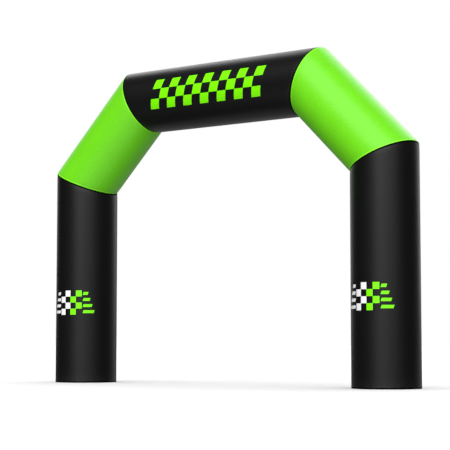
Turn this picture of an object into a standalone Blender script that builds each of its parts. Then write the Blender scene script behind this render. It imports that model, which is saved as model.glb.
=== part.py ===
"""An inflatable race arch: five fabric tubes sewn into an angled arch, on two flat base panels.

Metres, +Z up. The arch stands in the XZ plane with its front towards -Y, and the origin is on the
floor, midway between the legs. Every tube is blown up, so each is one filled solid: a cylinder cut
to a mitre where it meets the next, and drawn in a little at the seams.
"""

import math

import bmesh
import bpy
from mathutils import Vector

# The whole arch
SPAN = 6.00  # over the outsides of the legs
HEIGHT = 4.50  # from the floor to the top of the beam
TUBE_DIAMETER = 0.895
SHOULDER_RUN = 1.10  # how far a shoulder's centre line goes sideways
SHOULDER_RISE = 1.10  # and how far it goes up

# Seams: where two tubes meet, the cloth is drawn in, and it eases out again along the tube
SEAM_DRAW = 0.005
SEAM_REACH = 0.120  # the tube is at its full radius from here on
TAPE_WIDTH = 0.020  # the bright tape sewn round each seam, on the shoulder's side
TAPE_THICKNESS = 0.002
SEAM_STATIONS = (0.0, TAPE_WIDTH, 0.040, 0.075, SEAM_REACH)  # rings, measured from the seam

# Feet
BASE_THICKNESS = 0.003
BASE_INSET = 0.002  # how far the base panel's edge stays inside the leg's side
BASE_EDGE = 0.0006  # bevel on the base panel's edge
FOOT_ROUND = 0.003  # radius of the leg's bottom edge
FOOT_STEPS = 3

GAP = 0.0003  # between neighbouring pieces
SEGMENTS = 64  # round each tube
SHARP_ANGLE = math.radians(40)

# Colours as linear RGB
BLACK = (0.0050, 0.0050, 0.0053)
GREEN = (0.173, 0.740, 0.0135)
TAPE_GREEN = (0.25, 0.95, 0.020)
BASE_BLACK = (0.0035, 0.0035, 0.0038)
CLOTH_ROUGHNESS = 0.40
BASE_ROUGHNESS = 0.60

RADIUS = TUBE_DIAMETER / 2
LEG_X = SPAN / 2 - RADIUS
BEAM_Z = HEIGHT - RADIUS
FOOT_Z = BASE_THICKNESS + GAP / 2  # every cut is half a gap inside its joint
ELBOW_Z = BEAM_Z - SHOULDER_RISE
CROWN_X = LEG_X - SHOULDER_RUN
FRONT = Vector((0, -1, 0))

# The centre line, from the left foot over the top to the right foot
JOINTS = [
    Vector((-LEG_X, 0, FOOT_Z)),
    Vector((-LEG_X, 0, ELBOW_Z)),
    Vector((-CROWN_X, 0, BEAM_Z)),
    Vector((CROWN_X, 0, BEAM_Z)),
    Vector((LEG_X, 0, ELBOW_Z)),
    Vector((LEG_X, 0, FOOT_Z)),
]


class Tube:
    """One straight run of the arch between two joints, and the plane that cuts it at each."""

    def __init__(self, index):
        self.start, self.end = JOINTS[index], JOINTS[index + 1]
        self.along = direction(index)
        self.outward = FRONT.cross(self.along)
        self.cuts = [(self.start, cut_normal(index)), (self.end, cut_normal(index + 1))]

    def ring(self, end, radius, distance):
        """Points round the tube at a distance from the cut at one end (0 or 1), as seen from start."""
        joint, normal = self.cuts[end]
        inward = self.along if end == 0 else -self.along
        slope = self.outward.dot(normal) / self.along.dot(normal)
        back = distance + GAP / 2 / abs(self.along.dot(normal))
        points = []
        for step in range(SEGMENTS):
            angle = math.tau * step / SEGMENTS
            across = radius * (self.outward * math.cos(angle) + FRONT * math.sin(angle))
            lean = -self.along * slope * radius * math.cos(angle)
            points.append(joint + across + lean + inward * back - self.start)
        return points


def direction(index):
    return (JOINTS[index + 1] - JOINTS[index]).normalized()


def cut_normal(joint):
    """A foot is cut square. A seam lies in the plane that halves the bend."""
    before = direction(max(joint - 1, 0))
    after = direction(min(joint, len(JOINTS) - 2))
    return (before + after).normalized()


def drawn_radius(distance):
    """The tube's radius at a distance from a seam, up to SEAM_REACH."""
    return RADIUS - SEAM_DRAW * (1 - distance / SEAM_REACH) ** 3


def seam_rings(tube, end):
    """Rings from a seam inwards."""
    return [tube.ring(end, drawn_radius(station), station) for station in SEAM_STATIONS]


def foot_rings(tube, end):
    """Rings from a foot upwards, round its bottom edge."""
    rings = []
    for step in range(FOOT_STEPS + 1):
        turn = math.pi / 2 * step / FOOT_STEPS
        radius = RADIUS - FOOT_ROUND * (1 - math.sin(turn))
        rings.append(tube.ring(end, radius, FOOT_ROUND * (1 - math.cos(turn))))
    return rings


def tape_rings(tube, end):
    """The four edges of the tape that lies on the tube beside a seam, in order round its section."""
    under, over = GAP, GAP + TAPE_THICKNESS
    section = [(0.0, under), (TAPE_WIDTH, under), (TAPE_WIDTH, over), (0.0, over)]
    return [tube.ring(end, drawn_radius(place) + lift, place) for place, lift in section]


def material(name, colour, roughness):
    made = bpy.data.materials.new(name)
    made.use_nodes = True
    shader = made.node_tree.nodes["Principled BSDF"]
    shader.inputs["Base Color"].default_value = (*colour, 1)
    shader.inputs["Roughness"].default_value = roughness
    shader.inputs["Metallic"].default_value = 0.0
    made.diffuse_color = (*colour, 1)
    return made


def add_object(name, mesh, place, colour, roughness, parent):
    mesh.shade_smooth()
    mesh.set_sharp_from_angle(angle=SHARP_ANGLE)
    mesh.materials.append(material(name, colour, roughness))
    obj = bpy.data.objects.new(name, mesh)
    obj.location = place
    obj.parent = parent
    bpy.context.scene.collection.objects.link(obj)
    return obj


def skin(name, rings, closed_section):
    """A mesh through a row of rings. It ends in two flat caps, or joins up as a band round the tube."""
    shape = bmesh.new()
    loops = [[shape.verts.new(point) for point in ring] for ring in rings]
    pairs = list(zip(loops, loops[1:]))
    if closed_section:
        pairs.append((loops[-1], loops[0]))
    else:
        shape.faces.new(loops[0])
        shape.faces.new(loops[-1])
    for low, high in pairs:
        for a, b, c, d in zip(low, low[1:] + low[:1], high[1:] + high[:1], high):
            shape.faces.new((a, b, c, d))
    bmesh.ops.recalc_face_normals(shape, faces=shape.faces)
    mesh = bpy.data.meshes.new(name)
    shape.to_mesh(mesh)
    shape.free()
    return mesh


def add_leg(name, index, foot_end, parent):
    tube = Tube(index)
    rings = foot_rings(tube, foot_end) + seam_rings(tube, 1 - foot_end)[::-1]
    mesh = skin(name, rings, closed_section=False)
    add_object(name, mesh, tube.start, BLACK, CLOTH_ROUGHNESS, parent)


def add_run(name, index, colour, parent):
    """A shoulder or the beam, with a seam at each end."""
    tube = Tube(index)
    rings = seam_rings(tube, 0) + seam_rings(tube, 1)[::-1]
    mesh = skin(name, rings, closed_section=False)
    add_object(name, mesh, tube.start, colour, CLOTH_ROUGHNESS, parent)


def add_tape(name, index, end, parent):
    tube = Tube(index)
    mesh = skin(name, tape_rings(tube, end), closed_section=True)
    add_object(name, mesh, tube.start, TAPE_GREEN, CLOTH_ROUGHNESS, parent)


def add_base(name, x, parent):
    """The round panel that closes a leg and lies on the floor."""
    shape = bmesh.new()
    radius = RADIUS - BASE_INSET
    bmesh.ops.create_cone(
        shape,
        cap_ends=True,
        segments=SEGMENTS,
        radius1=radius,
        radius2=radius,
        depth=BASE_THICKNESS,
    )
    mesh = bpy.data.meshes.new(name)
    shape.to_mesh(mesh)
    shape.free()
    place = Vector((x, 0, BASE_THICKNESS / 2))
    base = add_object(name, mesh, place, BASE_BLACK, BASE_ROUGHNESS, parent)
    bevel = base.modifiers.new("edge", "BEVEL")
    bevel.width = BASE_EDGE
    bevel.segments = 1
    bevel.limit_method = "ANGLE"
    bevel.angle_limit = SHARP_ANGLE


def clear_scene():
    for obj in list(bpy.data.objects):
        bpy.data.objects.remove(obj, do_unlink=True)


def main():
    clear_scene()
    arch = bpy.data.objects.new("arch", None)
    bpy.context.scene.collection.objects.link(arch)

    add_base("base_left", -LEG_X, arch)
    add_base("base_right", LEG_X, arch)
    add_leg("leg_left", 0, 0, arch)
    add_run("shoulder_left", 1, GREEN, arch)
    add_run("beam", 2, BLACK, arch)
    add_run("shoulder_right", 3, GREEN, arch)
    add_leg("leg_right", 4, 1, arch)
    add_tape("tape_elbow_left", 1, 0, arch)
    add_tape("tape_crown_left", 1, 1, arch)
    add_tape("tape_crown_right", 3, 0, arch)
    add_tape("tape_elbow_right", 3, 1, arch)


main()
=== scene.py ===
"""The looks of the inflatable arch: its cloth, seam tapes, stitching and prints, with camera and light.

Metres, +Z up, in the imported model's frame. The arch stands in the XZ plane with its front towards
-Y, and the origin is on the floor, midway between the legs. Every tube is full of air, so its cloth
is taut: it is modelled as a fine grid round the tube, drawn in at the seams, with small creases.
"""

import math

import bpy
import numpy as np
from mathutils import Euler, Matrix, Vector


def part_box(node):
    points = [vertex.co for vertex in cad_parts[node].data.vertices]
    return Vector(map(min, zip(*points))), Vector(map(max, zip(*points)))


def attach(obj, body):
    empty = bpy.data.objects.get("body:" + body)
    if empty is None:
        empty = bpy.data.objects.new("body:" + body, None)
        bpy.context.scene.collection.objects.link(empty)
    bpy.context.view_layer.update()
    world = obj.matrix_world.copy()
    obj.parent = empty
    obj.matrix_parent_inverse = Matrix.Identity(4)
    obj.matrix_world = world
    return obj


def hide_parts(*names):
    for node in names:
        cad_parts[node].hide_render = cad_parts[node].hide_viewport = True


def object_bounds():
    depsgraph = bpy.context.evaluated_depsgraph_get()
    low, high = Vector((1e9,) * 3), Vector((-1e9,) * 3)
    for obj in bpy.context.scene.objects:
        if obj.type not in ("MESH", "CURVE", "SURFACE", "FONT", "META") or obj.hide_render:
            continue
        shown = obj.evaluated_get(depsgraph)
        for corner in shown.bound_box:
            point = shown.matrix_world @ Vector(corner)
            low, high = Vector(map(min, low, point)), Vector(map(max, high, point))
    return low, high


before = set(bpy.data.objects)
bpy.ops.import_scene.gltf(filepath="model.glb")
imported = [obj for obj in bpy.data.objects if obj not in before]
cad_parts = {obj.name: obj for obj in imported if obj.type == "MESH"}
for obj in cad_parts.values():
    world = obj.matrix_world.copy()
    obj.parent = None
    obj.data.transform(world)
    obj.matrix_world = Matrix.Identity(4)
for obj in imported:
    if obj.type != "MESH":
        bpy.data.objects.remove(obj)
cad_low, cad_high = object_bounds()
MM = 0.001

# The arch, measured on the frame
BASE_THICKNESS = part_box("base_left")[1].z
BASE_RADIUS = (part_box("base_left")[1].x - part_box("base_left")[0].x) / 2
RADIUS = (cad_high.y - cad_low.y) / 2
LEG_X = (cad_high.x - cad_low.x) / 2 - RADIUS
BEAM_Z = cad_high.z - RADIUS
SHOULDER_RUN = 1.10  # how far a shoulder's centre line goes sideways
SHOULDER_RISE = 1.10  # and how far it goes up
GAP = 0.3 * MM  # between neighbouring pieces

# Seams and feet
SEAM_DRAW = 5 * MM  # how far a seam draws the cloth in
SEAM_REACH = 120 * MM  # and how far from the seam it has eased out
FOOT_ROUND = 3 * MM
TAPE_WIDTH = 20 * MM
FELL_WIDTH = 20 * MM  # the turned edge of the black cloth, sewn down beside a seam
HEM_WIDTH = 20 * MM  # the strip round a foot
STRIP_HEIGHT = 0.7 * MM  # how far a sewn-down strip or lap stands over the cloth
LAP_WIDTH = 11 * MM  # each tube is closed by one lengthwise lapped seam, down its back
LAP_CLEAR = 24 * MM  # the lap flattens out this far from the ends
STEP_WIDTH = 0.8 * MM  # over which the edge of a strip or lap comes down to the cloth

# The grid of a tube: rows at these distances from its ends, close at the edge of a strip
STRIP_ROWS = (0, 1.5, 3.5, 7, 11, 15.5, 19.6, 20.4)
SEAM_ROWS = (25, 31, 38, 46, 55, 66, 78, 91, 106, 120)
FOOT_ROWS = (0, 0.1, 0.4, 0.9, 1.6, 2.3, 3, 7, 12, 16, 19.6, 20.4, 26, 40, 75, 120)
AT_SEAM = [MM * d for d in STRIP_ROWS + SEAM_ROWS]
AT_FOOT = [MM * d for d in FOOT_ROWS]
ROW = 60 * MM  # between the rows of the plain middle
COLUMN = 8 * MM  # between the columns, but for the narrow ones at the lap
LAP_COLUMNS = [MM * d for d in (-12, -5.9, -5.1, -2.6, 0, 2.6, 5.1, 5.9, 12)]

# Creases and slow waves
CREASE_SPACING = (26 * MM, 52 * MM)
CREASE_WIDTH = (7 * MM, 12 * MM)
CREASE_REACH = (12 * MM, 30 * MM)
CREASE_DEPTH = (0.08 * MM, 0.30 * MM)
CORNER_CREASES = 1.5  # how much deeper they are in the inner corner of a bend
WAVE_HEIGHT = 0.25 * MM
FIRST_SEED = 40  # each tube adds its own number to it

# Stitching
PITCH = 6 * MM
STITCH_LENGTH = 4.4 * MM
THREAD = 0.8 * MM
LAP_STITCHES = (-2.6 * MM, 2.6 * MM)  # to each side of the lap's middle
HEM_STITCHES = (12 * MM, 17 * MM)  # up from the foot
FELL_STITCHES = (4 * MM, 17 * MM)  # from the seam
SHARP_ANGLE = math.radians(50)

# Colours as linear RGB
BLACK = (0.0055, 0.0055, 0.0058)
# Near black, darker than the cloth: painted shade for the shadow line beside each seam and the dark contact
# line round each foot, on the real sewn-down strips there
TRIM_BLACK_PAINTED_SHADE = (0.0008, 0.0008, 0.0009)
BASE_BLACK = (0.0035, 0.0035, 0.0038)
THREAD_BLACK = (0.012, 0.012, 0.013)
GREEN = (0.173, 0.740, 0.0140)
GREEN_SHEEN = (0.98, 1.0, 0.92)
# The seam tape is a real green tape, but this green, lighter than the shoulders', is a painted highlight
# along each seam
TAPE_GREEN_PAINTED_HIGHLIGHT = (0.25, 0.95, 0.020)
PRINT_GREEN = (0.215, 0.97, 0.0)
PRINT_WHITE = (0.95, 0.95, 0.95)
DUST = (0.060, 0.055, 0.048)

FRONT = np.array((0.0, -1.0, 0.0))
JOINTS = np.array(
    (
        (-LEG_X, 0, BASE_THICKNESS + GAP / 2),
        (-LEG_X, 0, BEAM_Z - SHOULDER_RISE),
        (SHOULDER_RUN - LEG_X, 0, BEAM_Z),
        (LEG_X - SHOULDER_RUN, 0, BEAM_Z),
        (LEG_X, 0, BEAM_Z - SHOULDER_RISE),
        (LEG_X, 0, BASE_THICKNESS + GAP / 2),
    )
)
LEG_LEFT, SHOULDER_LEFT, BEAM, SHOULDER_RIGHT, LEG_RIGHT = range(5)


# ---------------------------------------------------------------- camera and light

CAMERA_PLACE = (11.929, -16.143, 0.586)
CAMERA_TILT = 4.608  # degrees above level
CAMERA_TURN = 36.460  # degrees from looking straight at the front
FOCAL_LENGTH = 116.27
SENSOR = 36.0

LAMPS = {  # a plain studio: azimuth from the front towards +X, elevation, degrees across, strength
    "key": (15, 40, 65, 3.3),
    "side": (55, 25, 40, 0.5),
    "back_right": (160, 40, 40, 0.7),
    "back_left": (210, 40, 50, 0.9),
    "back_low": (180, 20, 40, 0.4),
    "side_left": (240, 20, 40, 0.3),
}
FLOOR_RETURN = 0.3  # the share of each lamp that a white floor would send back up
FLOOR_RETURN_SIZE = 80  # degrees across, as light from a floor is soft
FLOOR_SIZE = 400.0
FLOOR_WHITE = 0.80
FLOOR_SUN = 4.4  # lights only the floor, from straight above
FLOOR_SUN_SIZE = 80  # degrees across: its shadow fades out a few metres from the arch


def add_camera():
    data = bpy.data.cameras.new("camera")
    data.sensor_width = SENSOR
    data.lens = FOCAL_LENGTH
    data.clip_end = FLOOR_SIZE
    camera = bpy.data.objects.new("camera", data)
    camera.location = CAMERA_PLACE
    camera.rotation_euler = Euler((math.radians(90 + CAMERA_TILT), 0, math.radians(CAMERA_TURN)))
    bpy.context.scene.collection.objects.link(camera)
    bpy.context.scene.camera = camera


def add_sun(name, azimuth, elevation, size, strength):
    data = bpy.data.lights.new(name, "SUN")
    data.energy = strength
    data.angle = math.radians(size)
    sun = bpy.data.objects.new(name, data)
    turn, rise = math.radians(azimuth), math.radians(elevation)
    towards = Vector((math.sin(turn) * math.cos(rise), -math.cos(turn) * math.cos(rise), math.sin(rise)))
    sun.rotation_euler = towards.to_track_quat("Z", "Y").to_euler()
    bpy.context.scene.collection.objects.link(sun)
    return sun


def light_group(floor, link_state):
    """What a light shines on: INCLUDE gives the floor alone, and EXCLUDE all but the floor."""
    group = bpy.data.collections.new("light_" + link_state.lower())
    group.objects.link(floor)
    group.collection_objects[0].light_linking.link_state = link_state
    return group


def add_suns(floor):
    rest = light_group(floor, "EXCLUDE")
    for name, (azimuth, elevation, size, strength) in LAMPS.items():
        lamp = add_sun("sun_" + name, azimuth, elevation, size, strength)
        returned = strength * FLOOR_RETURN
        below = add_sun("return_" + name, azimuth, -elevation, FLOOR_RETURN_SIZE, returned)
        for sun in (lamp, below):
            sun.light_linking.receiver_collection = rest
    sun = add_sun("sun_floor", 0, 90, FLOOR_SUN_SIZE, FLOOR_SUN)
    sun.light_linking.receiver_collection = light_group(floor, "INCLUDE")


def add_backdrop():
    """A white background for the camera alone, so that it adds no light."""
    world = bpy.data.worlds.new("backdrop")
    bpy.context.scene.world = world
    world.use_nodes = True
    tree = world.node_tree
    background = tree.nodes["Background"]
    background.inputs["Color"].default_value = (1, 1, 1, 1)
    path = tree.nodes.new("ShaderNodeLightPath")
    tree.links.new(path.outputs["Is Camera Ray"], background.inputs["Strength"])
    bpy.context.scene.view_settings.view_transform = "Standard"


def add_floor():
    half = FLOOR_SIZE / 2
    mesh = bpy.data.meshes.new("floor")
    corners = [(-half, -half, 0), (half, -half, 0), (half, half, 0), (-half, half, 0)]
    mesh.from_pydata(corners, [], [(0, 1, 2, 3)])
    floor = bpy.data.objects.new("floor", mesh)
    bpy.context.scene.collection.objects.link(floor)
    floor.visible_diffuse = False
    floor.visible_glossy = False
    floor.visible_shadow = False
    shader = Shader("floor_white")
    shader.surface.inputs["Base Color"].default_value = (FLOOR_WHITE,) * 3 + (1,)
    shader.surface.inputs["Roughness"].default_value = 1.0
    shader.surface.inputs["Specular IOR Level"].default_value = 0.0
    mesh.materials.append(shader.material)
    return floor


# ---------------------------------------------------------------- materials


class Shader:
    """A node material, put together by short calls."""

    def __init__(self, name):
        self.material = bpy.data.materials.new(name)
        self.material.use_nodes = True
        self.nodes = self.material.node_tree.nodes
        self.links = self.material.node_tree.links
        self.surface = self.nodes["Principled BSDF"]

    def feed(self, socket, value):
        if isinstance(value, bpy.types.NodeSocket):
            self.links.new(value, socket)
        else:
            socket.default_value = value

    def node(self, kind, output=0, settings=(), **inputs):
        """Adds a node, feeds its inputs by name, and returns the output with a number or name."""
        made = self.nodes.new("ShaderNode" + kind)
        for name, value in dict(settings).items():
            setattr(made, name, value)
        for name, value in inputs.items():
            self.feed(made.inputs[name.replace("_", " ")], value)
        return made.outputs[output]

    def maths(self, operation, first, second=0.0):
        made = self.nodes.new("ShaderNodeMath")
        made.operation = operation
        self.feed(made.inputs[0], first)
        self.feed(made.inputs[1], second)
        return made.outputs[0]

    def noise(self, place, per_metre, detail=2.0):
        return self.node("TexNoise", Vector=place, Scale=per_metre, Detail=detail)

    def spread(self, value, low, high):
        """value, which is about 0.3 to 0.7 as noise is, spread from low to high."""
        return self.node("MapRange", Value=value, From_Min=0.3, From_Max=0.7, To_Min=low, To_Max=high)

    def blend(self, share, first, second):
        """A colour between two, each a colour or a socket."""
        made = self.nodes.new("ShaderNodeMix")
        made.data_type = "RGBA"
        self.feed(made.inputs["Factor"], share)
        colour_sockets = (made.inputs[6], made.inputs[7])  # those before them mix numbers and vectors
        for socket, value in zip(colour_sockets, (first, second)):
            self.feed(socket, (*value, 1) if isinstance(value, tuple) else value)
        return made.outputs[2]

    def bump(self, height, distance, under=None):
        made = self.nodes.new("ShaderNodeBump")
        made.inputs["Distance"].default_value = distance
        self.feed(made.inputs["Height"], height)
        if under is not None:
            self.feed(made.inputs["Normal"], under)
        return made.outputs[0]


class ClothShader(Shader):
    """Coated woven cloth. Its UV map is in metres on the cloth, to the right and up from the front."""

    THREADS = 0.6 * MM  # from one thread of the weave to the next
    WEAVE_DEPTH = 0.03 * MM
    CRINKLE_DEPTH = 0.07 * MM
    MOTTLE = 0.025  # slow changes of tone, as a share of the colour
    FLECKS = 0.06  # and quick ones
    UNEVEN_ROUGHNESS = 0.03

    def __init__(self, name, colour, roughness, specular):
        super().__init__(name)
        self.place = self.node("TexCoord", output="Object")
        split = self.nodes.new("ShaderNodeSeparateXYZ")
        self.feed(split.inputs[0], self.node("UVMap", settings={"uv_map": "cloth"}))
        self.right, self.up = split.outputs[0], split.outputs[1]
        slow = self.spread(self.noise(self.place, 3.0, 4.0), -self.MOTTLE, self.MOTTLE)
        flecks = self.spread(self.noise(self.place, 70.0, 3.0), -self.FLECKS, self.FLECKS)
        tone = self.maths("ADD", self.maths("ADD", slow, flecks), 0.5)
        darker, lighter = (tuple(c * share for c in colour) for share in (0.5, 1.5))
        self.colour = self.blend(tone, darker, lighter)
        smoother, rougher = roughness - self.UNEVEN_ROUGHNESS, roughness + self.UNEVEN_ROUGHNESS
        self.roughness = self.spread(self.noise(self.place, 40.0), smoother, rougher)
        self.surface.inputs["Specular IOR Level"].default_value = specular

    def woven(self):
        """Height of a plain weave: threads that pass over and under each other in turn."""
        turn = math.pi / self.THREADS
        across = self.maths("SINE", self.maths("MULTIPLY", self.right, turn))
        along = self.maths("SINE", self.maths("MULTIPLY", self.up, turn))
        return self.maths("MULTIPLY", across, along)

    def paint(self, share, colour):
        """Covers part of the cloth with another colour."""
        self.colour = self.blend(share, self.colour, colour)

    def done(self):
        crinkle = self.bump(self.noise(self.place, 55.0, 3.0), self.CRINKLE_DEPTH)
        normal = self.bump(self.woven(), self.WEAVE_DEPTH, crinkle)
        self.links.new(self.colour, self.surface.inputs["Base Color"])
        self.links.new(self.roughness, self.surface.inputs["Roughness"])
        self.links.new(normal, self.surface.inputs["Normal"])
        return self.material

    # Prints, each a mask that is 1 on the ink

    def box(self, centre, size, slant=0.0):
        """A rectangle, whose sides may lean to the right by a share of its height."""
        rise = self.maths("SUBTRACT", self.up, centre[1])
        run = self.maths("SUBTRACT", self.right, centre[0])
        run = self.maths("SUBTRACT", run, self.maths("MULTIPLY", rise, slant))
        in_width = self.maths("LESS_THAN", self.maths("ABSOLUTE", run), size[0] / 2)
        in_height = self.maths("LESS_THAN", self.maths("ABSOLUTE", rise), size[1] / 2)
        return self.maths("MULTIPLY", in_width, in_height)

    def chequers(self, centre, cell, columns, rows, slant=0.0):
        """A field of squares, every other one inked."""
        rise = self.maths("SUBTRACT", self.up, centre[1] - rows * cell[1] / 2)
        lean = self.maths("MULTIPLY", self.maths("SUBTRACT", self.up, centre[1]), slant)
        run = self.maths("SUBTRACT", self.right, centre[0] - columns * cell[0] / 2)
        run = self.maths("SUBTRACT", run, lean)
        column = self.maths("FLOOR", self.maths("DIVIDE", run, cell[0]))
        row = self.maths("FLOOR", self.maths("DIVIDE", rise, cell[1]))
        odd = self.maths("FLOORED_MODULO", self.maths("ADD", column, row), 2.0)
        even = self.maths("SUBTRACT", 1.0, odd)
        size = (columns * cell[0], rows * cell[1])
        return self.maths("MULTIPLY", even, self.box(centre, size, slant))


BEAM_PRINT = (-0.01, 0.018)  # middle of the chequered band: from the arch's middle, and up from the front
BEAM_CELL = (0.145, 0.143)
BEAM_CELLS = (13, 3)
BEAM_SLANT = 0.21
LEG_PRINT_Z = 1.16
LEG_PRINT_X = {LEG_LEFT: 0.08, LEG_RIGHT: -0.02}  # round the leg from its front, to the right
LEG_CELL = 0.088
LEG_CELLS = 4
STRIPE = 0.042
STRIPE_STEP = 0.088
STRIPE_LENGTHS = (0.16, 0.13, 0.10, 0.07)  # from the bottom
STRIPE_SLANT = 0.35
DUST_REACH = 0.16  # how far up from the floor a leg has dust on it
DUST_SHARE = 0.16  # and how much of it there is at the floor


def black_cloth(name):
    return ClothShader(name, BLACK, roughness=0.37, specular=0.30)


def trim_cloth_painted_shade():
    """The sewn-down strips beside the seams and round the feet: matt, and near black, darker than the cloth
    as painted shade for the shadow line along each seam and the dark contact line where a foot meets the
    floor.
    """
    return ClothShader("black_trim_painted_shade", TRIM_BLACK_PAINTED_SHADE, roughness=0.80, specular=0.04).done()


def beam_cloth():
    """Black, with a slanted band of green chequers across the front."""
    shader = black_cloth("black_cloth_beam")
    ink = shader.chequers(BEAM_PRINT, BEAM_CELL, *BEAM_CELLS, BEAM_SLANT)
    shader.paint(ink, PRINT_GREEN)
    return shader.done()


def leg_cloth(name, middle):
    """Black, with a chequered square between two sets of stripes: white to the left, green to the right."""
    shader = black_cloth(name)
    side = LEG_CELL * LEG_CELLS
    squares = shader.chequers((middle, LEG_PRINT_Z), (LEG_CELL, LEG_CELL), LEG_CELLS, LEG_CELLS)
    for edge, ink in ((-1, PRINT_WHITE), (1, PRINT_GREEN)):
        half = shader.box((middle + edge * side / 4, LEG_PRINT_Z), (side / 2, side))
        inked = shader.maths("MULTIPLY", squares, half)
        for number, length in enumerate(STRIPE_LENGTHS):
            rise = LEG_PRINT_Z + (number - (len(STRIPE_LENGTHS) - 1) / 2) * STRIPE_STEP
            start = middle + edge * (side / 2 + STRIPE / 2)
            stripe = shader.box((start + edge * length / 2, rise), (length, STRIPE), STRIPE_SLANT)
            inked = shader.maths("ADD", inked, stripe)
        shader.paint(inked, ink)
    reach = {"From_Min": 0.0, "From_Max": DUST_REACH, "To_Min": DUST_SHARE, "To_Max": 0.0}
    low = shader.node("MapRange", Value=shader.up, **reach)
    scuffs = shader.spread(shader.noise(shader.place, 30.0, 5.0), 0, 1)
    shader.paint(shader.maths("MULTIPLY", low, scuffs), DUST)
    return shader.done()


def green_cloth():
    shader = ClothShader("green_cloth", GREEN, roughness=0.37, specular=0.30)
    shader.surface.inputs["Specular Tint"].default_value = (*GREEN_SHEEN, 1)
    return shader.done()


def webbing(name, colour, roughness):
    """Narrow woven tape with ribs across it."""
    shader = ClothShader(name, colour, roughness, specular=0.30)
    shader.THREADS = 1.1 * MM
    shader.WEAVE_DEPTH = 0.12 * MM
    return shader.done()


def thread(name, colour):
    """Sewing thread: two plies that wind round each other."""
    shader = Shader(name)
    place = shader.node("TexCoord", output="Object")
    plies = shader.node("TexWave", Vector=place, Scale=600.0, Distortion=0.0)
    tone = shader.noise(place, 90.0)
    darker = tuple(c * 0.8 for c in colour)
    shader.links.new(shader.blend(tone, darker, colour), shader.surface.inputs["Base Color"])
    shader.links.new(shader.spread(tone, 0.45, 0.60), shader.surface.inputs["Roughness"])
    shader.links.new(shader.bump(plies, 0.08 * MM), shader.surface.inputs["Normal"])
    shader.surface.inputs["Specular IOR Level"].default_value = 0.35
    return shader.material


def base_cloth():
    """Heavy coated cloth that stands on the ground: rough, with scuffs."""
    shader = ClothShader("base_cloth", BASE_BLACK, roughness=0.62, specular=0.30)
    shader.THREADS = 1.2 * MM
    shader.WEAVE_DEPTH = 0.12 * MM
    scuffs = shader.spread(shader.noise(shader.place, 18.0, 6.0), 0, 0.5)
    shader.paint(scuffs, DUST)
    return shader.done()


# ---------------------------------------------------------------- meshes


def unit(vectors):
    return vectors / np.linalg.norm(vectors, axis=-1, keepdims=True)


def volume(mesh):
    mesh.calc_loop_triangles()
    points = np.empty(len(mesh.vertices) * 3, np.float32)
    mesh.vertices.foreach_get("co", points)
    faces = np.empty(len(mesh.loop_triangles) * 3, np.int32)
    mesh.loop_triangles.foreach_get("vertices", faces)
    a, b, c = points.reshape(-1, 3)[faces.reshape(-1, 3)].astype(float).transpose(1, 0, 2)
    return (a * np.cross(b, c)).sum() / 6


def add_piece(name, mesh, material):
    if volume(mesh) < 0:
        mesh.flip_normals()
    mesh.materials.append(material)
    mesh.shade_smooth()
    mesh.set_sharp_from_angle(angle=SHARP_ANGLE)
    piece = bpy.data.objects.new(name, mesh)
    bpy.context.scene.collection.objects.link(piece)
    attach(piece, "root")
    return piece


def band_mesh(name, grid, uv, capped):
    """A mesh through rings of points. It ends in two caps, or its last ring joins its first."""
    rows, columns = grid.shape[:2]
    row, column = np.meshgrid(np.arange(rows - capped), np.arange(columns), indexing="ij")
    next_row, next_column = (row + 1) % rows, (column + 1) % columns
    corners = [(row, column), (row, next_column), (next_row, next_column), (next_row, column)]
    faces = np.stack([r * columns + c for r, c in corners], axis=-1).reshape(-1, 4).tolist()
    places = [(row, column), (row, column + 1), (row + 1, column + 1), (row + 1, column)]
    loops = np.stack([uv[r, c] for r, c in places], axis=-2).reshape(-1, 2)
    if capped:
        first = list(range(columns))
        last = [(rows - 1) * columns + c for c in first]
        faces += [first[::-1], last]
        loops = np.concatenate([loops, uv[0, first[::-1]], uv[-1, first]])
    mesh = bpy.data.meshes.new(name)
    mesh.from_pydata(grid.reshape(-1, 3).tolist(), [], faces)
    layer = mesh.uv_layers.new(name="cloth")
    layer.uv.foreach_set("vector", loops.astype(np.float32).ravel())
    return mesh


# ---------------------------------------------------------------- the cloth of a tube


def direction(index):
    return unit(JOINTS[index + 1] - JOINTS[index])


def cut_normal(joint):
    """A foot is cut square. A seam lies in the plane that halves the bend."""
    before = direction(max(joint - 1, 0))
    after = direction(min(joint, len(JOINTS) - 2))
    return unit(before + after)


def seam_radius(distance):
    return RADIUS - SEAM_DRAW * np.clip(1 - distance / SEAM_REACH, 0, 1) ** 3


def foot_radius(distance):
    below = np.clip(FOOT_ROUND - distance, 0, None)
    return RADIUS - FOOT_ROUND + np.sqrt(FOOT_ROUND**2 - below**2)


def below_edge(value, edge):
    """1 where value is under an edge, 0 where it is over it, with a narrow step between."""
    return np.clip((edge - value) / STEP_WIDTH + 0.5, 0, 1)


def column_angles():
    """Angles round a tube, starting at its back, with narrow columns at the lapped seam there."""
    lap = np.array(LAP_COLUMNS)
    rest = math.tau * RADIUS - (lap[-1] - lap[0])
    count = round(rest / COLUMN)
    even = lap[-1] + rest * np.arange(1, count) / count
    return np.concatenate([lap, even]) / RADIUS - math.pi / 2


ANGLES = column_angles()


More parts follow.
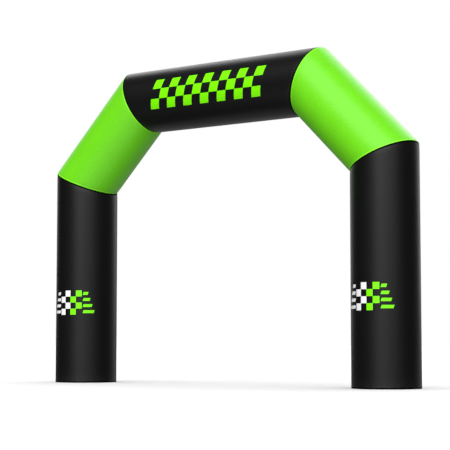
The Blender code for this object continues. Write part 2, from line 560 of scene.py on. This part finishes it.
class Creases:
    """Short dents side by side along a seam, each deepest a little way out from it."""

    def __init__(self, rng):
        self.dents = []
        place = rng.uniform(*CREASE_SPACING)
        while place < math.tau * RADIUS:
            ranges = (CREASE_WIDTH, CREASE_REACH, CREASE_DEPTH)
            self.dents.append((place, *(rng.uniform(*limits) for limits in ranges)))
            place += rng.uniform(*CREASE_SPACING)

    def depth(self, angle, distance):
        """Into the cloth, where the inner corner of the bend has the deepest."""
        full = math.tau * RADIUS
        total = 0.0
        for place, width, reach, deep in self.dents:
            aside = (angle * RADIUS - place + full / 2) % full - full / 2
            out = distance / reach
            total = total + deep * np.exp(-((aside / width) ** 2)) * out * np.exp(1 - out)
        return total * (1 + CORNER_CREASES * np.clip(-np.cos(angle), 0, 1) ** 2)


class Tube:
    """One straight run of the arch between two joints, cut at each by the plane of its seam or foot.

    Angle 0 on it is outward, away from the gateway, and a quarter turn is the front.
    """

    def __init__(self, index):
        self.index = index
        self.start, self.end = JOINTS[index], JOINTS[index + 1]
        self.along = direction(index)
        self.outward = np.cross(FRONT, self.along)
        self.length = np.linalg.norm(self.end - self.start)
        normals = (cut_normal(index), cut_normal(index + 1))
        self.slopes = [self.outward @ normal / (self.along @ normal) for normal in normals]
        self.gaps = [GAP / 2 / abs(self.along @ normal) for normal in normals]
        self.feet = (index == LEG_LEFT, index == LEG_RIGHT)
        self.black = index in (LEG_LEFT, BEAM, LEG_RIGHT)
        rng = np.random.default_rng(FIRST_SEED + index)
        self.creases = [Creases(rng), Creases(rng)]
        self.waves = rng.uniform(0, math.tau, 4)

    def plain_radius(self, end, distance):
        return foot_radius(distance) if self.feet[end] else seam_radius(distance)

    def strip(self, end, distance):
        """1 on the strip that is sewn down along a foot or along a black tube's seam."""
        width = HEM_WIDTH if self.feet[end] else FELL_WIDTH * self.black
        return below_edge(distance, width) * (width > 0)

    def radius(self, end, angle, distance):
        """Radius of the cloth near one end, with its creases and its strip."""
        radius = self.plain_radius(end, distance) + STRIP_HEIGHT * self.strip(end, distance)
        if self.feet[end]:
            return radius + 0 * angle
        return radius - self.creases[end].depth(angle, distance)

    def cut(self, end, angle, distance):
        """How far along the tube the cloth is that lies a distance from the cut at one end."""
        lean = self.slopes[end] * self.plain_radius(end, distance) * np.cos(angle)
        inward = distance + self.gaps[end]
        return self.length * end - lean + (inward if end == 0 else -inward)

    def place(self, angle, along, radius):
        """Points on the tube, from arrays that go together."""
        angle, along, radius = np.broadcast_arrays(angle, along, radius)
        spoke = np.cos(angle)[..., None] * self.outward + np.sin(angle)[..., None] * FRONT
        return self.start + radius[..., None] * spoke + along[..., None] * self.along

    def surface(self, end, angle, distance, lift):
        """Points at a height over the cloth near one end."""
        return self.place(angle, self.cut(end, angle, distance), self.radius(end, angle, distance) + lift)

    def lap(self, angle, clear):
        """Height of the lengthwise lapped seam, where clear is the distance from the nearer end."""
        aside = np.abs((angle + math.pi / 2) * RADIUS)
        return STRIP_HEIGHT * below_edge(aside, LAP_WIDTH / 2) * np.clip(clear / LAP_CLEAR - 1, 0, 1)

    def slow_waves(self, angle, along):
        """The cloth's own small unevenness."""
        a, b, c, d = self.waves
        total = np.sin(2 * angle + 2.1 * along + a) + 0.7 * np.sin(3 * angle - 3.3 * along + b)
        total = total + 0.6 * np.sin(angle + 6.5 * along + c) + 0.4 * np.sin(5 * angle + 1.4 * along + d)
        return WAVE_HEIGHT * total / 2.7

    def rows(self, angle):
        """Every row of the grid: where it lies along the tube, its radius, and its distance from an end."""
        near = [np.array(AT_FOOT if foot else AT_SEAM)[:, None] for foot in self.feet]
        first = self.cut(0, angle, near[0])
        last = self.cut(1, angle, near[1])[::-1]
        count = round(float((last[0] - first[-1]).mean()) / ROW)
        share = (np.arange(1, count) / count)[:, None]
        middle = first[-1] + (last[0] - first[-1]) * share
        along = np.concatenate([first, middle, last])
        ends = [self.radius(end, angle, near[end]) for end in (0, 1)]
        radius = np.concatenate([ends[0], np.full(middle.shape, RADIUS), ends[1][::-1]])
        clear = np.concatenate([near[0], np.full(share.shape, SEAM_REACH), near[1][::-1]])
        strips = [self.strip(end, near[end]) for end in (0, 1)]
        trim_painted_shade = np.concatenate([strips[0], 0 * share, strips[1][::-1]])
        return along, radius, clear, trim_painted_shade

    def uv(self, angle, along):
        """Metres on the cloth, to the right and up as the arch is seen from the front."""
        arc = (angle - math.pi / 2) * RADIUS
        if self.index == BEAM:
            return np.stack([self.start[0] + along, -arc + 0 * along], axis=-1)
        up = np.sign(self.along[2])
        return np.stack([arc * up + 0 * along, self.start[2] + along * up], axis=-1)

    def mesh(self, name):
        angle = ANGLES[None, :]
        along, radius, clear, trim_painted_shade = self.rows(angle)
        radius = radius + self.lap(angle, clear)
        radius = radius + self.slow_waves(angle, along) * np.clip(clear / SEAM_REACH, 0, 1) ** 2
        points = self.place(angle, along, radius)
        whole_turn = np.append(ANGLES, ANGLES[0] + math.tau)[None, :]
        mesh = band_mesh(name, points, self.uv(whole_turn, self.rows(whole_turn)[0]), capped=True)
        # Faces on the sewn-down strips take the second material, the near-black trim whose deeper black is
        # painted shade
        in_trim_painted_shade = np.repeat(np.maximum(trim_painted_shade[:-1], trim_painted_shade[1:]) > 0.5, len(ANGLES))
        mesh.polygons.foreach_set("material_index", np.append(in_trim_painted_shade, (False, False)).astype(np.int32))
        return mesh


# ---------------------------------------------------------------- stitching


def walk(points):
    """Distance walked along a line of points, at each of them."""
    return np.append(0, np.cumsum(np.linalg.norm(np.diff(points, axis=0), axis=1)))


def ring_line(tube, end, distance, lift):
    """Places for stitches round a tube, evenly spaced: (middles, directions, normals)."""
    fine = np.linspace(-math.pi / 2, 1.5 * math.pi, 1441)
    points = tube.surface(end, fine, distance, lift)
    walked = walk(points)
    count = round(walked[-1] / PITCH)
    angle = np.interp((np.arange(count) + 0.5) / count * walked[-1], walked, fine)
    step = STITCH_LENGTH / RADIUS / 2
    ahead = tube.surface(end, angle + step, distance, lift) - tube.surface(end, angle - step, distance, lift)
    spoke = np.cos(angle)[:, None] * tube.outward + np.sin(angle)[:, None] * FRONT
    return tube.surface(end, angle, distance, lift), unit(ahead), spoke


def lengthwise_line(tube, aside, lift):
    """Places for stitches along the lapped seam down a tube's back."""
    angle = aside / RADIUS - math.pi / 2
    clear = 2 * LAP_CLEAR
    start, stop = (float(tube.cut(end, angle, clear)) for end in (0, 1))
    count = round((stop - start) / PITCH)
    along = start + (np.arange(count) + 0.5) / count * (stop - start)
    height = RADIUS + STRIP_HEIGHT + tube.slow_waves(angle, along) + lift
    middles = tube.place(np.full(count, angle), along, height)
    spoke = math.cos(angle) * tube.outward + math.sin(angle) * FRONT
    return middles, np.tile(tube.along, (count, 1)), np.tile(spoke, (count, 1))


def stitch_mesh(name, lines):
    """One lozenge of thread for each stitch: two points, and two square rings between them."""
    middles, ahead, normals = (np.concatenate(parts) for parts in zip(*lines))
    aside = np.cross(ahead, normals)
    half, ring, thick = STITCH_LENGTH / 2, 0.5 * STITCH_LENGTH / 2, THREAD / 2
    shape = [(-half, 0, -thick)]
    for run in (-ring, ring):
        shape += [(run, 0, thick), (run, thick, 0), (run, 0, -thick), (run, -thick, 0)]
    shape += [(half, 0, -thick)]
    shape = np.array(shape)
    axes = np.stack([ahead, aside, normals], axis=1)
    points = middles[:, None, :] + shape[None] @ axes
    faces = []
    for a, b in ((1, 2), (2, 3), (3, 4), (4, 1)):
        faces += [(0, a, b), (a, a + 4, b + 4, b), (9, b + 4, a + 4)]
    mesh = bpy.data.meshes.new(name)
    listed = []
    for first in range(0, len(middles) * len(shape), len(shape)):
        listed += [tuple(first + corner for corner in face) for face in faces]
    mesh.from_pydata(points.reshape(-1, 3).tolist(), [], listed)
    return mesh


# ---------------------------------------------------------------- pieces


def add_tube(name, index, cloth, trim_painted_shade):
    tube = Tube(index)
    piece = add_piece("cloth_" + name, tube.mesh("cloth_" + name), cloth)
    # A black tube's strips take the near-black trim, whose deeper black is painted shade
    if tube.black:
        piece.data.materials.append(trim_painted_shade)
    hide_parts(name)
    return tube


def add_tube_stitches(name, tube, material):
    """Two rows down the lap at the back, two in a foot's hem, and two in each turned black edge."""
    lines = [lengthwise_line(tube, aside, 0.0) for aside in LAP_STITCHES]
    for end in (0, 1):
        if tube.feet[end]:
            lines += [ring_line(tube, end, distance, 0.0) for distance in HEM_STITCHES]
        elif tube.black:
            lines += [ring_line(tube, end, distance, 0.0) for distance in FELL_STITCHES]
    add_piece("stitches_" + name, stitch_mesh("stitches_" + name, lines), material)


TAPE_SECTION = (  # distance from the seam and height over the cloth, both in millimetres
    (0.1, 0.3),
    (10.0, 0.3),
    (19.9, 0.3),
    (20.0, 0.9),
    (19.6, 1.3),
    (18.0, 1.3),
    (16.6, 1.0),
    (15.0, 1.6),
    (10.0, 2.1),
    (5.0, 1.6),
    (3.4, 1.0),
    (2.0, 1.3),
    (0.4, 1.3),
    (0.0, 0.9),
)
TAPE_STITCHES = (3.4 * MM, 16.6 * MM)
TAPE_STITCH_LIFT = 1.05 * MM  # over the cloth, in the two grooves of the section
TAPE_COLUMNS = 360


def add_tape(name, tube, end, cloth, stitching):
    """The green tape sewn round a shoulder beside its seam, crowned between two rows of stitches. It is a
    lighter green than the cloth, as a painted highlight along the seam.
    """
    angle = np.linspace(-math.pi / 2, 1.5 * math.pi, TAPE_COLUMNS + 1)
    section = np.array(TAPE_SECTION) * MM
    section = np.append(section, section[:1], axis=0)
    distance, lift = section[:, :1], section[:, 1:]
    points = tube.surface(end, angle[None, :-1], distance[:-1], lift[:-1])
    middle = tube.surface(end, angle, TAPE_WIDTH / 2, 0.0)
    walked = walk(middle)
    uv = np.stack([walked + 0 * distance, distance + lift + 0 * walked], axis=-1)
    mesh = band_mesh("tape_" + name, points, uv, capped=False)
    piece = add_piece("seam_tape_" + name, mesh, cloth)
    lines = [ring_line(tube, end, row, TAPE_STITCH_LIFT) for row in TAPE_STITCHES]
    sewn = stitch_mesh("stitches_tape_" + name, lines)
    thread_piece = add_piece("stitches_tape_" + name, sewn, stitching)
    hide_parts("tape_" + name)


BASE_PROFILE = (  # radius inside the edge and height, in millimetres, from the middle underneath
    (22.0, 0.0),
    (20.5, 0.0),
    (19.5, 0.9),
    (14.5, 0.9),
    (13.5, 0.0),
    (2.0, 0.0),
    (0.6, 0.3),
    (0.0, 1.0),
    (0.0, 2.0),
    (0.6, 2.7),
    (2.0, 3.0),
    (22.0, 3.0),
)
BASE_RINGS = (400.0, 340.0, 270.0, 190.0, 100.0)  # further rings towards the middle
BASE_TOP = 3.0  # the height of the panel's upper face, in millimetres
BASE_COLUMNS = 192
BASE_STITCHES = (15.8, 18.2)  # inside the edge, in the groove
BASE_STITCH_LEVEL = 0.9 * MM


def add_base(name, x, cloth, stitching):
    """The round panel under a leg, with a groove that keeps its stitches off the ground."""
    under = [(inside, 0.0) for inside in BASE_RINGS]
    over = [(inside, BASE_TOP) for inside in reversed(BASE_RINGS)]
    profile = np.array(under + list(BASE_PROFILE) + over) * MM
    angle = np.linspace(0, math.tau, BASE_COLUMNS + 1)[None, :]
    reach = BASE_RADIUS - profile[:, :1]
    rings = np.stack(
        [x + reach * np.cos(angle), reach * np.sin(angle), profile[:, 1:] + 0 * angle],
        axis=-1,
    )
    mesh = band_mesh(name, rings[:, :-1], rings[..., :2], capped=True)
    piece = add_piece("panel_" + name, mesh, cloth)
    lines = [base_line(x, inside * MM) for inside in BASE_STITCHES]
    sewn = stitch_mesh("stitches_" + name, lines)
    thread_piece = add_piece("stitches_" + name, sewn, stitching)
    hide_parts(name)


def base_line(x, inside):
    """Places for stitches round the underside of a base panel."""
    reach = BASE_RADIUS - inside
    count = round(math.tau * reach / PITCH)
    angle = (np.arange(count) + 0.5) / count * math.tau
    level = np.full(count, BASE_STITCH_LEVEL)
    middles = np.stack([x + reach * np.cos(angle), reach * np.sin(angle), level], axis=-1)
    ahead = np.stack([-np.sin(angle), np.cos(angle), 0 * angle], axis=-1)
    down = np.tile((0.0, 0.0, -1.0), (count, 1))
    return middles, ahead, down


def add_arch():
    black_thread = thread("thread_black", THREAD_BLACK)
    green_thread = thread("thread_green", GREEN)
    green = green_cloth()
    # The tape's lighter green is a painted highlight along the seams
    tape = webbing("green_webbing_painted_highlight", TAPE_GREEN_PAINTED_HIGHLIGHT, 0.42)
    base = base_cloth()
    # The strips' near-black is painted shade along the seams and round the feet
    trim_painted_shade = trim_cloth_painted_shade()
    tubes = {
        "leg_left": (LEG_LEFT, leg_cloth("black_cloth_left", LEG_PRINT_X[LEG_LEFT])),
        "shoulder_left": (SHOULDER_LEFT, green),
        "beam": (BEAM, beam_cloth()),
        "shoulder_right": (SHOULDER_RIGHT, green),
        "leg_right": (LEG_RIGHT, leg_cloth("black_cloth_right", LEG_PRINT_X[LEG_RIGHT])),
    }
    made = {}
    for name, (index, cloth) in tubes.items():
        shoulder = "shoulder" in name
        made[name] = add_tube(name, index, cloth, trim_painted_shade)
        add_tube_stitches(name, made[name], green_thread if shoulder else black_thread)
    add_tape("elbow_left", made["shoulder_left"], 0, tape, green_thread)
    add_tape("crown_left", made["shoulder_left"], 1, tape, green_thread)
    add_tape("crown_right", made["shoulder_right"], 0, tape, green_thread)
    add_tape("elbow_right", made["shoulder_right"], 1, tape, green_thread)
    add_base("base_left", -LEG_X, base, black_thread)
    add_base("base_right", LEG_X, base, black_thread)


add_camera()
add_backdrop()
add_suns(add_floor())
add_arch()
